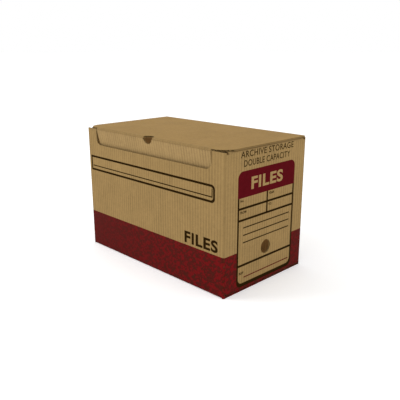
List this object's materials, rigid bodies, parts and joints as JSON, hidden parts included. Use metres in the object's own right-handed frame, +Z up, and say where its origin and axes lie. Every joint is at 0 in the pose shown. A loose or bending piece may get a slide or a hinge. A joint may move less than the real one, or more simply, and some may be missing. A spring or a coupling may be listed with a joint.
{
  "type": "archival box",
  "caption": "Upright corrugated board archive box with a back-hinged lid, a tuck flap behind a recessed front, dust flaps and a finger hole in the label end.",
  "frame": {"origin": "on the floor under the middle of the box", "axes": "+X along the box towards the label end, -Y towards the front panel with the recess, +Z up"},
  "size_m": [0.385, 0.22, 0.255],
  "materials": {
    "kraft_outer": "matte",
    "kraft_inner": "matte",
    "fluting_medium": "matte",
    "crease_board": "matte",
    "maroon_ink": "matte",
    "black_ink": "matte"
  },
  "bodies": {
    "box": {"front_panel_outer_liner": "kraft_outer", "front_panel_fluting": "fluting_medium", "front_panel_inner_liner": "kraft_inner", "back_panel_outer_liner": "kraft_outer", "back_panel_fluting": "fluting_medium", "back_panel_inner_liner": "kraft_inner", "label_end_panel_outer_liner": "kraft_outer", "label_end_panel_fluting": "fluting_medium", "label_end_panel_inner_liner": "kraft_inner", "rear_end_panel_outer_liner": "kraft_outer", "rear_end_panel_fluting": "fluting_medium", "rear_end_panel_inner_liner": "kraft_inner", "glue_flap_outer_liner": "kraft_outer", "glue_flap_fluting": "fluting_medium", "glue_flap_inner_liner": "kraft_inner", "bottom_front_flap_outer_liner": "kraft_outer", "bottom_front_flap_fluting": "fluting_medium", "bottom_front_flap_inner_liner": "kraft_inner", "bottom_back_flap_outer_liner": "kraft_outer", "bottom_back_flap_fluting": "fluting_medium", "bottom_back_flap_inner_liner": "kraft_inner", "bottom_label_flap_outer_liner": "kraft_outer", "bottom_label_flap_fluting": "fluting_medium", "bottom_label_flap_inner_liner": "kraft_inner", "bottom_rear_flap_outer_liner": "kraft_outer", "bottom_rear_flap_fluting": "fluting_medium", "bottom_rear_flap_inner_liner": "kraft_inner", "front_label_corner_fold": "crease_board", "back_label_corner_fold": "crease_board", "front_rear_corner_fold": "crease_board", "glue_flap_fold": "crease_board", "bottom_front_fold": "crease_board", "bottom_back_fold": "crease_board", "bottom_label_fold": "crease_board", "bottom_rear_fold": "crease_board", "lid_fold": "crease_board", "label_dust_fold": "crease_board", "rear_dust_fold": "crease_board"},
    "lid": {"lid_panel_outer_liner": "kraft_outer", "lid_panel_fluting": "fluting_medium", "lid_panel_inner_liner": "kraft_inner", "tuck_fold": "crease_board"},
    "tuck_flap": {"tuck_flap_outer_liner": "kraft_outer", "tuck_flap_fluting": "fluting_medium", "tuck_flap_inner_liner": "kraft_inner"},
    "label_dust_flap": {"label_dust_flap_outer_liner": "kraft_outer", "label_dust_flap_fluting": "fluting_medium", "label_dust_flap_inner_liner": "kraft_inner"},
    "rear_dust_flap": {"rear_dust_flap_outer_liner": "kraft_outer", "rear_dust_flap_fluting": "fluting_medium", "rear_dust_flap_inner_liner": "kraft_inner"}
  },
  "joints": [
    {"name": "lid_hinge", "type": "hinge", "parent": "box", "child": "lid", "pos_m": [0, 0.11, 0.255], "axis": [-1, 0, 0], "range_deg": [0, 175]},
    {"name": "tuck_flap_hinge", "type": "hinge", "parent": "lid", "child": "tuck_flap", "pos_m": [0, -0.1065, 0.2515], "axis": [1, 0, 0], "range_deg": [0, 60]},
    {"name": "label_dust_flap_hinge", "type": "hinge", "parent": "box", "child": "label_dust_flap", "pos_m": [0.1925, 0, 0.2517], "axis": [0, 1, 0], "range_deg": [0, 70]},
    {"name": "rear_dust_flap_hinge", "type": "hinge", "parent": "box", "child": "rear_dust_flap", "pos_m": [-0.1925, 0, 0.2517], "axis": [0, -1, 0], "range_deg": [0, 70]}
  ],
  "couplings": [
    {"joint": "label_dust_flap_hinge", "follows": "lid_hinge", "ratio": 0.4},
    {"joint": "rear_dust_flap_hinge", "follows": "lid_hinge", "ratio": 0.4}
  ]
}
